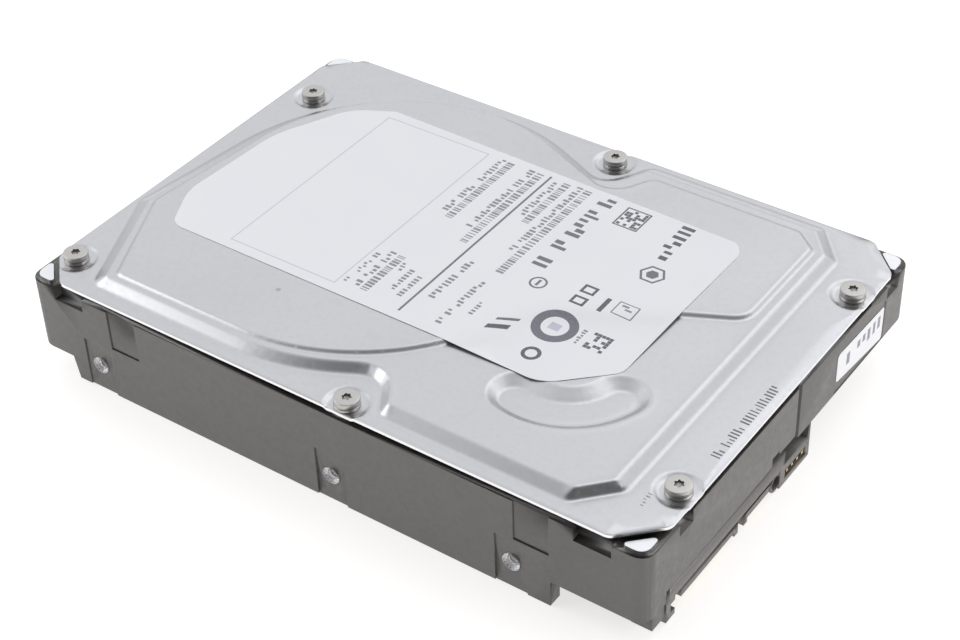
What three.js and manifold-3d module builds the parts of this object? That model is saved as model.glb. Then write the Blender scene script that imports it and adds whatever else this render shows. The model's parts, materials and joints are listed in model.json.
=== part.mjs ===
// A 3.5-inch hard disk drive: cast base, stamped cover, circuit board, disc pack, head actuator.
// Millimetres. +Z is up through the cover, +X is the connector end, and the long sides face -Y and +Y.
// The origin is the bottom centre of the outer box, so the mounting rails stand on z = 0.
import * as THREE from "three";
import { mergeVertices } from "three/addons/utils/BufferGeometryUtils.js";
import Module from "manifold-3d";

const wasm = await Module();
wasm.setup();

// ---- Driving dimensions -------------------------------------------------------------------------
const LENGTH = 147.0;
const WIDTH = 101.6;
const HEIGHT = 26.1;
const END = LENGTH / 2;
const SIDE = WIDTH / 2;
const CORNER_R = 3;

// The mounting holes are threaded 6-32; X counts from the middle of the drive.
const SIDE_HOLES_X = [END - 28.5, END - 28.5 - 41.61, END - 28.5 - 101.6];
const SIDE_HOLE_Z = 6.35;
const BASE_HOLES_X = [END - 41.28, END - 41.28 - 44.45, END - 41.28 - 76.2];
const BASE_HOLE_Y = 95.25 / 2;
const THREAD_R = 1.4;
const THREAD_MOUTH_R = 1.95;
const THREAD_DEPTH = 4.6;

// Heights of the casting.
const RAIL_FOOT = 0;
const FAR_FOOT_Z = 5.4;
const NEAR_FOOT_Z = 6.1;
const CORNER_FOOT_Z = 2.5;
const END_WALL_Z = 8.9;
const WEB_Z = 7.6;
const FLOOR_Z = 10;
const PARTING_Z = 12.3;
const WALL_TOP = 22.0;
const PAD_TOP = 22.7;
const RAIL_INNER_Y = 43.9;

// Heights of the cover, whose sheet is pressed up twice.
const SHEET = 0.6;
const FLANGE_TOP = 23.9;
const PLATEAU_TOP = 25.4;
const CROWN_TOP = 25.95;
const KIDNEY_DEPTH = 1.25;
const SCREW_PAD_DEPTH = 0.4;
const COVER_SIDE = 50.4;
const COVER_FAR = -71.9;
const COVER_NEAR = 73.3;
const COVER_CORNER_SUM = 115.2;

const COVER_SCREWS = [
  [-67.9, -42.3],
  [6.4, -47.6],
  [69.7, -34],
  [69.7, 32.4],
  [6.2, 46.2],
  [-65.2, 31.7],
];
const SCREW_HEAD_R = 2.6;
const SCREW_HEAD_H = 2.0;

// The disc pack.
const SPINDLE = [-22.5, 0];
const DISC_R = 47.5;
const DISC_BORE_R = 12.5;
const DISC_T = 1.27;
const DISC_GAP = 2.4;
const LOWER_DISC_Z = 15;
const UPPER_DISC_Z = LOWER_DISC_Z + DISC_T + DISC_GAP;
const STACK_TOP = UPPER_DISC_Z + DISC_T;
const CHAMBER_R = 48.7;
const MOTOR_R = 13.5;

// The head actuator, drawn along its own +X and turned to its parked angle.
const PIVOT = [34.5, -8];
const PARKED = 118.3;
const HUB_R = 8.5;
const BEARING_R = 5.8;
const PIVOT_SHAFT_R = 2.6;
const COIL_Z = [16.1, 18.3];
const COIL_IN_R = 14;
const COIL_OUT_R = 30;
const COIL_HALF = 17;
const VCM_MIDDLE = -46;
const VCM_HALF = 50.5;
const VCM_POST_R = 24;
const VCM_POST_HALF = 45.5;
const ARM_T = 0.95;
const ARM_ZS = [13.2, 17, 20.6];
const BEAM_T = 0.26;

// The circuit board hangs below the web with its chips facing up.
const BOARD_Z = [2.2, 3.4];
const BOARD_SCREWS = [
  [57, -37],
  [57, 38],
  [-40, -38],
  [-40, 38],
];

// ---- Materials ----------------------------------------------------------------------------------
const finish = (color, roughness, metalness) => ({ color, roughness, metalness });
const COATED = finish(0x4a4744, 0.5, 0.55);
const STEEL = finish(0xc9cacc, 0.32, 0.95);
const BRIGHT = finish(0xd6d7da, 0.18, 1.0);
const ALUMINIUM = finish(0xb4b6ba, 0.4, 0.9);
const RUBBER = finish(0x232323, 0.9, 0);
const PAPER = finish(0xf0f0f2, 0.6, 0);
const BOARD = finish(0x1d4a33, 0.5, 0.1);
const CHIP = finish(0x1b1b1c, 0.55, 0);
const PLASTIC = finish(0x8d8b84, 0.55, 0);
const GOLD = finish(0xd9b45a, 0.3, 1.0);
const COPPER = finish(0xb46a3c, 0.35, 1.0);
const MAGNET = finish(0x9da0a3, 0.3, 1.0);
const FOAM = finish(0x30302f, 0.95, 0);
const POLYIMIDE = finish(0xb2722b, 0.45, 0);
const DRIVE_WHITE = finish(0xe6e4dc, 0.5, 0);

// How many sides the circles have: the pieces round the spindle, and the discs with their chamber.
const ROUND = 36;
const FINE = 60;

// ---- Outlines -----------------------------------------------------------------------------------
const DEGREE = Math.PI / 180;
const polar = ([x, y], r, degrees) =>
  new THREE.Vector2(x + r * Math.cos(degrees * DEGREE), y + r * Math.sin(degrees * DEGREE));

// Points on an arc about a centre, from one angle to another in degrees.
function arcPoints(centre, r, from, to, steps) {
  return Array.from({ length: steps + 1 }, (_, i) => polar(centre, r, from + ((to - from) * i) / steps));
}

function circle(centre, r, sides) {
  return arcPoints(centre, r, 0, 360, sides).slice(0, -1);
}

// A closed outline from corners [x, y, radius], anticlockwise, with each corner rounded by an arc.
function outline(corners) {
  return corners.flatMap(([x, y, r = 0], i) => {
    const corner = new THREE.Vector2(x, y);
    if (r === 0) return [corner];
    const [px, py] = corners.at(i - 1);
    const [nx, ny] = corners[(i + 1) % corners.length];
    const back = new THREE.Vector2(px - x, py - y).normalize();
    const on = new THREE.Vector2(nx - x, ny - y).normalize();
    const turn = Math.PI - Math.acos(THREE.MathUtils.clamp(back.dot(on), -1, 1));
    const bisector = back.clone().add(on).normalize();
    const centre = corner.clone().addScaledVector(bisector, r / Math.cos(turn / 2));
    const left = back.cross(on) < 0 ? 1 : -1;
    const middle = Math.atan2(-bisector.y, -bisector.x) / DEGREE;
    const half = (left * turn) / 2 / DEGREE;
    const steps = Math.ceil(Math.abs(2 * half) / (r < 12 ? 20 : 3));
    return arcPoints([centre.x, centre.y], r, middle - half, middle + half, steps);
  });
}

// The same corners moved inwards, each edge by its own distance (the edge that leaves the corner).
function inset(corners, distances) {
  const count = corners.length;
  const distance = (i) => (Array.isArray(distances) ? distances[(i + count) % count] : distances);
  const edge = (i) => {
    const [ax, ay] = corners[(i + count) % count];
    const [bx, by] = corners[(i + 1) % count];
    const along = new THREE.Vector2(bx - ax, by - ay).normalize();
    const inward = new THREE.Vector2(-along.y, along.x);
    return { along, from: new THREE.Vector2(ax, ay).addScaledVector(inward, distance(i)) };
  };
  return corners.map(([, , r = 0], i) => {
    const before = edge(i - 1);
    const after = edge(i);
    const cross = before.along.cross(after.along);
    const t = after.from.clone().sub(before.from).cross(after.along) / cross;
    const p = before.from.clone().addScaledVector(before.along, t);
    const change = ((distance(i - 1) + distance(i)) / 2) * Math.sign(cross);
    return [p.x, p.y, r === 0 ? 0 : Math.max(r - change, 0.15)];
  });
}

// A sector of a ring about a centre, between two radii and two angles.
function sector(centre, inner, outer, from, to, steps = 8) {
  return [
    ...arcPoints(centre, outer, from, to, steps),
    ...arcPoints(centre, inner, to, from, steps),
  ];
}

// A slot with round ends that runs along an arc.
function arcSlot(centre, r, half, from, to) {
  const end = polar(centre, r, to);
  const start = polar(centre, r, from);
  return [
    ...arcPoints(centre, r + half, from, to, 16).slice(0, -1),
    ...arcPoints([end.x, end.y], half, to, to + 180, 14).slice(0, -1),
    ...arcPoints(centre, r - half, to, from, 16).slice(0, -1),
    ...arcPoints([start.x, start.y], half, from + 180, from + 360, 14).slice(0, -1),
  ];
}

// ---- Solids -------------------------------------------------------------------------------------
function solid(geometry) {
  const bare = new THREE.BufferGeometry();
  const whole = geometry.index ? geometry.toNonIndexed() : geometry;
  bare.setAttribute("position", whole.getAttribute("position"));
  const merged = mergeVertices(bare, 1e-4);
  return new wasm.Manifold(
    new wasm.Mesh({
      numProp: 3,
      vertProperties: merged.attributes.position.array,
      triVerts: new Uint32Array(merged.index.array),
    }),
  );
}

const join = (...solids) => solids.flat().reduce((all, next) => all.add(next));
const cut = (body, ...tools) => tools.flat().reduce((left, tool) => left.subtract(tool), body);

function prism(points, low, high) {
  const shape = new THREE.Shape(points);
  const geometry = new THREE.ExtrudeGeometry(shape, { depth: high - low, bevelEnabled: false });
  return solid(geometry.translate(0, 0, low));
}

function box([x0, x1], [y0, y1], [z0, z1]) {
  const geometry = new THREE.BoxGeometry(x1 - x0, y1 - y0, z1 - z0);
  return solid(geometry.translate((x0 + x1) / 2, (y0 + y1) / 2, (z0 + z1) / 2));
}

const rod = (centre, r, low, high, sides = 24) => prism(circle(centre, r, sides), low, high);

// A ring's outer and inner walls have the same number of sides, so concentric rings nest.
function ring(centre, inner, outer, low, high, sides = ROUND) {
  return cut(rod(centre, outer, low, high, sides), rod(centre, inner, low - 1, high + 1, sides));
}

// A rod along X or Y, for holes in the sides.
function sideRod(x, z, r, from, to, sides = 16) {
  const geometry = new THREE.CylinderGeometry(r, r, to - from, sides);
  return solid(geometry.translate(x, (from + to) / 2, z));
}

function cone(centre, lowR, highR, low, high, sides = 24) {
  return loft(circle(centre, lowR, sides), circle(centre, highR, sides), low, high);
}

// A solid between two outlines of equal point count at two heights.
function loft(lower, upper, low, high) {
  const n = lower.length;
  const positions = [
    ...lower.flatMap((p) => [p.x, p.y, low]),
    ...upper.flatMap((p) => [p.x, p.y, high]),
  ];
  const bottom = THREE.ShapeUtils.triangulateShape(lower, []).flatMap(([a, b, c]) => [a, c, b]);
  const top = THREE.ShapeUtils.triangulateShape(upper, []).flatMap((t) => t.map((i) => i + n));
  const wall = lower.flatMap((_, i) => {
    const j = (i + 1) % n;
    return [i, j, n + j, i, n + j, n + i];
  });
  const geometry = new THREE.BufferGeometry();
  geometry.setAttribute("position", new THREE.Float32BufferAttribute(positions, 3));
  geometry.setIndex([...bottom, ...top, ...wall]);
  return solid(geometry);
}

// A prism whose outline lies in XZ and whose thickness runs along Y.
function crossPrism(points, [y0, y1]) {
  const shape = new THREE.Shape(points.map(([x, z]) => new THREE.Vector2(x, z)));
  const geometry = new THREE.ExtrudeGeometry(shape, { depth: y1 - y0, bevelEnabled: false });
  return solid(geometry.rotateX(Math.PI / 2).translate(0, y1, 0));
}

function geometryOf(body) {
  const made = body.getMesh();
  const geometry = new THREE.BufferGeometry();
  geometry.setAttribute("position", new THREE.BufferAttribute(Float32Array.from(made.vertProperties), 3));
  geometry.setIndex(new THREE.BufferAttribute(Uint32Array.from(made.triVerts), 1));
  return geometry;
}

// A prism whose outline lies in YZ and whose thickness runs along X.
function alongX(points, [x0, x1]) {
  const shape = new THREE.Shape(points);
  const geometry = new THREE.ExtrudeGeometry(shape, { depth: x1 - x0, bevelEnabled: false });
  const turn = new THREE.Matrix4().set(0, 0, 1, x0, 1, 0, 0, 0, 0, 1, 0, 0, 0, 0, 0, 1);
  return solid(geometry.applyMatrix4(turn));
}

// Turns a solid drawn about the origin and moves it to a centre.
function placed(body, [x, y], degrees) {
  return solid(geometryOf(body).rotateZ(degrees * DEGREE).translate(x, y, 0));
}

// Turns a solid drawn head up about the origin over, and moves its seat to a place.
function hung(body, [x, y], seat) {
  return solid(geometryOf(body).rotateX(Math.PI).translate(x, y, seat));
}

const drive = new THREE.Group();

function add(name, body, { color, roughness, metalness }) {
  const geometry = geometryOf(body);
  geometry.computeVertexNormals();
  const mesh = new THREE.Mesh(geometry, new THREE.MeshStandardMaterial({ color, roughness, metalness }));
  mesh.name = name;
  drive.add(mesh);
}

// ---- Base casting -------------------------------------------------------------------------------
const rectangle = (x0, x1, y0, y1, r) => [
  [x0, y0, r],
  [x1, y0, r],
  [x1, y1, r],
  [x0, y1, r],
];
const BODY = rectangle(-END, END, -SIDE, SIDE, CORNER_R);
const RAIL_NEAR_X = 53.6;
const RAIL_PROFILE = [
  [-64.4, WEB_Z + 1],
  [-64.4, FAR_FOOT_Z],
  [-63.4, RAIL_FOOT],
  [RAIL_NEAR_X, RAIL_FOOT],
  [RAIL_NEAR_X, WEB_Z + 1],
];
const COVER_CORNERS = coverCorners();
const BOSS_R = 4.2;
const RISER_R = 2.4;
const SCREW_BORE_R = 1.5;
const GASKET_EAR_R = 5.3;

// The cover is a rectangle with its four corners cut off along |x| + |y| = a constant.
function coverCorners() {
  const r = 2.5;
  const farY = COVER_CORNER_SUM + COVER_FAR;
  const nearY = COVER_CORNER_SUM + 0.6 - COVER_NEAR;
  const farX = COVER_SIDE - COVER_CORNER_SUM;
  const nearX = COVER_CORNER_SUM + 0.6 - COVER_SIDE;
  return [
    [farX, -COVER_SIDE, r],
    [nearX, -COVER_SIDE, r],
    [COVER_NEAR, -nearY, r],
    [COVER_NEAR, nearY, r],
    [nearX, COVER_SIDE, r],
    [farX, COVER_SIDE, r],
    [COVER_FAR, farY, r],
    [COVER_FAR, -farY, r],
  ];
}

// The bare triangular pads on the casting's corners, outside the cover's cut corners.
function cornerPads() {
  const offset = 1.6;
  const edge = 0.9;
  return [-1, 1].flatMap((sx) =>
    [-1, 1].map((sy) => {
      const x = sx * (END - edge);
      const y = sy * (SIDE - edge);
      const reach = Math.abs(x) + Math.abs(y) - (COVER_CORNER_SUM + 0.6) - offset * Math.SQRT2 + 1.2;
      const corners = [
        [x, y, 2.2],
        [x - sx * reach, y, 0.7],
        [x, y - sy * reach, 0.7],
      ];
      const turned = sx * sy > 0 ? corners : [corners[0], corners[2], corners[1]];
      return prism(outline(turned), WALL_TOP - 1, PAD_TOP);
    }),
  );
}

// Shallow recessed panels and the pockets under the cover's edge on both long sides.
function sideReliefs() {
  const panel = 0.3;
  const halfBand = 3.6;
  return [-1, 1].flatMap((s) => {
    const skin = (depth) => [s * SIDE - depth, s * SIDE + depth];
    const bands = SIDE_HOLES_X.map((x) =>
      box([x - halfBand, x + halfBand], skin(panel), [-1, PARTING_Z - 0.3]),
    );
    const panels = [
      [-52.3, -44.8],
      [45.6, 53.3],
    ].map((span) => box(span, skin(panel), [PARTING_Z + 0.3, 30]));
    const pockets = [
      [-66.7, -59],
      [58.4, 66.3],
    ].map((span) => box(span, skin(2.1), [19.2, 30]));
    return [...bands, ...panels, ...pockets];
  });
}

function endReliefs() {
  const skin = (depth) => [END - depth, END + depth];
  return [
    box(skin(2.2), [-39.8, -35.2], [19.3, 30]),
    box(skin(2.2), [40.6, 45.4], [19.0, 30]),
    box(skin(1.0), [3.6, 4.9], [-1, 30]),
    box(skin(1.6), [-5.3, -2.5], [-1, 11.1]),
    box(skin(1.6), [-2.6, 4.9], [-1, 10.2]),
    box(skin(END_LABEL_T), [19.6, 40.4], [9.1, 18.9]),
  ];
}

function mountingHoles() {
  const sides = [-1, 1].flatMap((s) =>
    SIDE_HOLES_X.flatMap((x) => {
      const mouth = s * SIDE;
      const span = [mouth - s * THREAD_DEPTH, mouth + s].sort((a, b) => a - b);
      const chamfer = [mouth - s * 0.9, mouth + s].sort((a, b) => a - b);
      return [
        sideRod(x, SIDE_HOLE_Z, THREAD_R, ...span),
        sideRod(x, SIDE_HOLE_Z, THREAD_MOUTH_R, ...chamfer),
      ];
    }),
  );
  const below = [-1, 1].flatMap((s) =>
    BASE_HOLES_X.map((x) => rod([x, s * BASE_HOLE_Y], THREAD_R, -1, 4.8, 16)),
  );
  return [...sides, ...below];
}

function baseCasting() {
  const hull = prism(outline(BODY), RAIL_FOOT - 1, 40);
  const blocks = join(
    prism(outline(BODY), WEB_Z, WALL_TOP),
    box([-END, -60], [-SIDE, SIDE], [FAR_FOOT_Z, WEB_Z + 1]),
    box([-END, END], [-SIDE, -RAIL_INNER_Y], [NEAR_FOOT_Z, WEB_Z + 1]),
    box([-END, 58], [RAIL_INNER_Y, SIDE], [NEAR_FOOT_Z, WEB_Z + 1]),
    crossPrism(RAIL_PROFILE, [-SIDE, -RAIL_INNER_Y]),
    crossPrism(RAIL_PROFILE, [RAIL_INNER_Y, SIDE]),
    box([69, END - 0.2], [-48, -RAIL_INNER_Y], [CORNER_FOOT_Z, WEB_Z + 1]),
    cornerPads(),
  );
  const chambers = [
    rod(SPINDLE, CHAMBER_R, FLOOR_Z, 30, FINE),
    prism(outline(rectangle(2, 69.3, -47.2, 47.2, 4)), FLOOR_Z, 30),
    filterPocket(),
    rod(SPINDLE, MOTOR_R + 0.1, 0, 30, ROUND),
    box([60, 80], [HOUSING.y[0] - 0.3, 60], [-1, END_WALL_Z]),
    ...[-1, 1].map((s) => box([50, 56], [s * 47.7, s * 40].sort((a, b) => a - b), [-1, NEAR_FOOT_Z])),
    box(CONNECTOR_SLOT_X, CONNECTOR_SLOT_Y, [0, 30]),
  ];
  const posts = [
    ...COVER_SCREWS.map((at) => rod(at, BOSS_R, FLOOR_Z - 1, WALL_TOP, 16)),
    ...COVER_SCREWS.map((at) => rod(at, RISER_R, WALL_TOP - 1, FLANGE_TOP - SHEET - SCREW_PAD_DEPTH, 16)),
    ...BOARD_SCREWS.map((at) => rod(at, 3, BOARD_Z[1], WEB_Z + 1, 16)),
    rod(PIVOT, 5, FLOOR_Z - 1, FLOOR_Z + 1, 24),
    rod(LATCH, 2.2, FLOOR_Z - 1, FLOOR_Z + 1, 12),
    ...vcmPostPlaces().map((at) => rod(at, 2.2, FLOOR_Z - 1, FLOOR_Z + 1, 12)),
  ];
  const bores = [
    ...COVER_SCREWS.map((at) => rod(at, SCREW_BORE_R, 15.5, 40, 12)),
    ...BOARD_SCREWS.map((at) => rod(at, 1.25, 0, FLOOR_Z - 1.2, 12)),
  ];
  const body = join(cut(blocks, chambers), posts).intersect(hull);
  return cut(body, sideReliefs(), endReliefs(), mountingHoles(), bores);
}

// ---- Cover --------------------------------------------------------------------------------------
// The foot of the first pressing, at the flange, with the width of the slope that each edge starts.
const FOOT = [
  [-59.2, -47.3, 3.5],
  [-10.7, -47.3, 47.7],
  [7.4, -37.9, 5],
  [13.4, -47.4, 3],
  [54.5, -47.4, 2],
  [62.3, -39, 2],
  [62.3, 40, 1.5],
  [55, 48.8, 2],
  [14, 48.8, 3],
  [8.2, 38, 4.5],
  [-59.7, 67.9, 44.6],
  [-70.9, -20.2, 3],
];
const SLOPES = [2.7, 2.4, 2.0, 2.7, 1.4, 2.4, 2.4, 3.4, 2.6, 3.0, 3.4, 3.1];
// The second pressing, which carries the label.
const CROWN = [
  [-55.5, -43.7, 2],
  [10, -43.7, 43.5],
  [20.3, -5.8, 5],
  [57.5, 12.4, 5],
  [57.5, 39, 1.5],
  [52.2, 43.2, 1.5],
  [17.5, 43.2, 3],
  [12.5, 33.4, 6],
  [-57, 62.6, 39.5],
  [-66.4, -20, 3],
];
const CROWN_SLOPE = 0.4;
// The recess is a slot along an arc; its slope is wide on the inside of the arc and narrow outside.
const KIDNEY = {
  centre: [35.4, -15.9],
  floor: { r: 14.35, half: 3.15 },
  mouth: { r: 13.55, half: 5.95 },
  from: -104,
  to: -16,
};

function screwPads() {
  return COVER_SCREWS.map((at) => cone(at, 3.9, 4.7, FLANGE_TOP - SCREW_PAD_DEPTH, FLANGE_TOP + 0.01));
}

function kidney(grow, low, high) {
  const { centre, floor, mouth, from, to } = KIDNEY;
  return loft(
    arcSlot(centre, floor.r, floor.half + grow, from, to),
    arcSlot(centre, mouth.r, mouth.half + grow, from, to),
    low,
    high,
  );
}

// The pressed shape above the flange; drop lowers it and shrink draws it in, for the sheet's inner face.
function pressing(drop, shrink) {
  const foot = inset(FOOT, shrink);
  const crown = inset(CROWN, shrink);
  return join(
    loft(outline(foot), outline(inset(foot, SLOPES)), FLANGE_TOP - drop, PLATEAU_TOP - drop),
    loft(outline(crown), outline(inset(crown, CROWN_SLOPE)), PLATEAU_TOP - drop - 0.01, CROWN_TOP - drop),
  );
}

function topCover() {
  const flange = prism(outline(COVER_CORNERS), FLANGE_TOP - SHEET, FLANGE_TOP);
  const outer = join(flange, pressing(0, 0));
  const below = prism(outline(inset(FOOT, 0.35)), FLANGE_TOP - SHEET - 1, FLANGE_TOP - SHEET + 0.01);
  const dish = kidney(SHEET, PLATEAU_TOP - KIDNEY_DEPTH - SHEET, PLATEAU_TOP);
  const hollow = cut(join(pressing(SHEET, 0.35), below), dish);
  const pads = COVER_SCREWS.map((at) =>
    rod(at, 4.9, FLANGE_TOP - SHEET - SCREW_PAD_DEPTH, FLANGE_TOP - SHEET + 0.1, 24),
  );
  const outlineBlock = prism(outline(COVER_CORNERS), 0, 40);
  const sheet = join(cut(outer, hollow), pads).intersect(outlineBlock);
  return cut(
    sheet,
    kidney(0, PLATEAU_TOP - KIDNEY_DEPTH, PLATEAU_TOP + 0.001),
    screwPads(),
    COVER_SCREWS.map((at) => rod(at, SCREW_BORE_R + 0.1, 0, 40, 16)),
  );
}

function coverGasket() {
  const low = WALL_TOP;
  const high = FLANGE_TOP - SHEET;
  const within = prism(outline(inset(COVER_CORNERS, 0.8)), low, high);
  const hole = prism(outline(inset(COVER_CORNERS, 2.0)), low - 1, high + 1);
  const round = COVER_SCREWS.map((at) => rod(at, GASKET_EAR_R, low, high, 16));
  const whole = join(cut(within, hole), round).intersect(within);
  const tools = [
    ...COVER_SCREWS.map((at) => rod(at, RISER_R + 0.3, low - 1, high + 1, 12)),
    ...COVER_SCREWS.map((at) => rod(at, 5.2, high - SCREW_PAD_DEPTH - 0.05, high + 1, 24)),
  ];
  return cut(whole, tools);
}

// A flanged screw with a six-pointed socket, head up.
function socketScrew([x, y], seat, headR, headH, shankR, length) {
  const top = seat + headH;
  const socket = Array.from({ length: 12 }, (_, i) => polar([x, y], headR * (i % 2 ? 0.27 : 0.42), i * 30));
  const body = join(
    rod([x, y], headR, seat, top - 0.3, 18),
    cone([x, y], headR, headR - 0.3, top - 0.3, top, 18),
    rod([x, y], shankR, seat - length, seat + 0.1, 12),
  );
  return cut(body, prism(socket, top - headH * 0.6, top + 1));
}

const COVER_SEAT = FLANGE_TOP - SCREW_PAD_DEPTH;
const END_LABEL_T = 0.12;
const LABEL_T = HEIGHT - CROWN_TOP;
const LABEL_CORNERS = [
  [-57.2, -24.7, 4],
  [34.4, -24.7, 9],
  [45.6, -14, 4],
  [46.1, 29.3, 4],
  [44, 32.4, 3],
  [-43.5, 34.2, 3],
  [-52.5, 29.5, 12],
  [-60.6, 12.5, 20],
  [-62.4, -14, 14],
];

// The label lies on the pressed sheet and steps down with it where it runs off the second pressing.
function topLabel() {
  const layer = cut(pressing(-LABEL_T, 0), pressing(0, 0));
  return layer.intersect(prism(outline(LABEL_CORNERS), FLANGE_TOP, HEIGHT + 1));
}

function endLabel() {
  const y = [20, 40];
  const low = [11.7, 9.4];
  const high = [18.6, 17.6];
  const corners = [
    [y[0], low[0], 0.8],
    [y[1], low[1], 0.8],
    [y[1], high[1], 0.8],
    [y[0], high[0], 0.8],
  ];
  return alongX(outline(corners), [END - END_LABEL_T, END]);
}

// ---- Circuit board and connectors ----------------------------------------------------------------
const CONNECTOR_SLOT_X = [38, 56];
const CONNECTOR_SLOT_Y = [27, 31];
const HOUSING = { x: [66, 73.4], y: [-43.4, 10.5], z: [0.2, 8.6] };
const SOCKET_ROOF = 5.0;
const SOCKET_BACK = 68;
const TONGUE = { x: [67, 73.2], z: [2.45, 3.95] };
const POWER = { y: [-37.8, -17.1], contacts: 15 };
const DATA = { y: [-14.9, -4.5], contacts: 7 };
const KEY_Z = 1.4;
const CONTACT_PITCH = 1.27;
const PIN_YS = [1.8, 3.8, 5.8, 7.8];

function circuitBoard() {
  const corners = [
    [-46, -43.4, 2],
    [65.7, -43.4, 1],
    [65.7, 43.4, 2],
    [-46, 43.4, 2],
  ];
  const holes = [
    rod(SPINDLE, 16, 0, 10, 40),
    ...BOARD_SCREWS.map((at) => rod(at, 1.5, 0, 10, 12)),
    ...BASE_HOLES_X.flatMap((x) => [-1, 1].map((s) => rod([x, s * BASE_HOLE_Y], 4.9, 0, 10, 16))),
  ];
  return cut(prism(outline(corners), ...BOARD_Z), holes);
}

function boardInsulator() {
  const sheet = prism(outline(rectangle(-36, 58, -32, 26, 3)), 6.7, WEB_Z - 0.1);
  return cut(sheet, rod(SPINDLE, 16.5, 0, 10, 40));
}

// One moulding holds the power socket, the data socket, a guide hole and the jumper frame.
function sataConnector() {
  const { x, y, z } = HOUSING;
  const roof = box(x, [y[0], 0.3], [SOCKET_ROOF, z[1]]);
  const back = box([x[0], SOCKET_BACK], y, [1.2, z[1]]);
  const hook = join(
    box(x, [y[0], y[0] + 1.6], [0.5, z[1]]),
    box(x, [y[0], y[0] + 3.1], [0.5, 1.9]),
    box(x, [y[0], y[0] + 3.1], [4.0, SOCKET_ROOF + 1]),
  );
  const tongues = [POWER, DATA].map((socket) => box(TONGUE.x, socket.y, TONGUE.z));
  const keys = [
    [POWER.y[1] - 1.35, POWER.y[1]],
    [DATA.y[0], DATA.y[0] + 1.35],
  ].map((span) => box(TONGUE.x, span, [KEY_Z, TONGUE.z[1]]));
  const frame = join(box(x, [-1.3, y[1]], [z[0], 5.5]), box(x, [y[1] - 1.1, y[1]], [z[0], z[1]]));
  const shape = join(roof, back, hook, tongues, keys, frame, lug());
  const foot = box([x[0] - 4, x[0] + 1], [y[0] + 3, y[1] - 1], [BOARD_Z[1], 6]);
  const jumperMouth = box([SOCKET_BACK, x[1] + 1], [0.7, 8.9], [1.4, 3.5]);
  return cut(join(shape, foot), jumperMouth, guideHole());
}

const GUIDE = { y: -2.8, z: 3 };
const lug = () => alongX(circle([GUIDE.y, GUIDE.z], 2.2, 16), [HOUSING.x[0] + 1, HOUSING.x[1] - 0.1]);
const guideHole = () => alongX(circle([GUIDE.y, GUIDE.z], 1.5, 14), [HOUSING.x[0] + 3, HOUSING.x[1] + 1]);

// Contact strips under a tongue, joined at their roots.
function contacts({ y, contacts: count }, clearOfKey) {
  const middle = (y[0] + y[1]) / 2 + clearOfKey;
  const z = [TONGUE.z[0] - 0.25, TONGUE.z[0]];
  const first = middle - ((count - 1) / 2) * CONTACT_PITCH;
  const strips = Array.from({ length: count }, (_, i) => first + i * CONTACT_PITCH).map((at) =>
    box([SOCKET_BACK + 0.4, TONGUE.x[1] - 0.5], [at - 0.4, at + 0.4], z),
  );
  const root = box([SOCKET_BACK + 0.2, SOCKET_BACK + 0.6], [first - 0.4, -first + 2 * middle + 0.4], z);
  return join(root, strips);
}

function jumperPins() {
  const z = [2.4, 3.04];
  const span = (y) => [y - 0.32, y + 0.32];
  const pins = PIN_YS.map((y) => box([SOCKET_BACK, HOUSING.x[1] - 0.1], span(y), z));
  return join(box([SOCKET_BACK, SOCKET_BACK + 0.6], [span(PIN_YS[0])[0], span(PIN_YS[3])[1]], z), pins);
}

// ---- Spindle motor and disc pack ------------------------------------------------------------------
const SLEEVE_R = 4.4;
const SHAFT_R = 2.0;
const STATOR_Z = [11.4, 13.8];
const TEETH = 9;

function motorBase() {
  const plate = rod(SPINDLE, MOTOR_R, 7.0, 8.9, ROUND);
  const tube = rod(SPINDLE, SLEEVE_R + 1.2, 8.8, 10.6, 32);
  const rim = ring(SPINDLE, MOTOR_R - 1.6, MOTOR_R - 0.3, 6.6, 7.1);
  return cut(join(plate, tube, rim), rod(SPINDLE, SLEEVE_R, 0, 20, 32));
}

function bearingSleeve() {
  const tube = rod(SPINDLE, SLEEVE_R - 0.1, 7.2, 16.6, 32);
  return cut(tube, rod(SPINDLE, SHAFT_R + 0.06, 8.2, 20, 24));
}

function statorCore() {
  const yoke = ring(SPINDLE, SLEEVE_R + 0.1, SLEEVE_R + 1.5, ...STATOR_Z, 27);
  const teeth = Array.from({ length: TEETH }, (_, i) => {
    const stem = box([SLEEVE_R + 1, 9.3], [-0.6, 0.6], STATOR_Z);
    const shoe = prism(sector([0, 0], 8.6, 9.5, -13, 13, 2), ...STATOR_Z);
    return placed(join(stem, shoe), SPINDLE, (360 / TEETH) * i);
  });
  return join(yoke, teeth);
}

function statorWindings() {
  const coils = Array.from({ length: TEETH }, (_, i) => {
    const lump = box([6.4, 8.3], [-1.25, 1.25], [STATOR_Z[0] - 0.7, STATOR_Z[1] + 0.7]);
    const eye = box([0, 12], [-0.7, 0.7], [STATOR_Z[0] - 0.1, STATOR_Z[1] + 0.1]);
    return placed(cut(lump, eye), SPINDLE, (360 / TEETH) * i);
  });
  return join(ring(SPINDLE, 6.9, 7.9, STATOR_Z[0] - 0.9, STATOR_Z[0] - 0.4, 27), coils);
}

const HUB_TOP = 20.4;

function spindleHub() {
  const barrel = rod(SPINDLE, DISC_BORE_R - 0.05, 11.2, HUB_TOP, ROUND);
  const flange = rod(SPINDLE, 15.6, 13.6, LOWER_DISC_Z, ROUND);
  const cup = ring(SPINDLE, SHAFT_R + 0.05, 11.2, 10, 14.9);
  const sleeveWell = rod(SPINDLE, SLEEVE_R + 0.5, 10, 17.2, 32);
  const bores = CLAMP_SCREWS.map((at) => rod(at, 0.9, 16.2, 30, 12));
  return cut(join(barrel, flange), cup, sleeveWell, rod(SPINDLE, SHAFT_R + 0.05, 10, 30, 24), bores);
}

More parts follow.
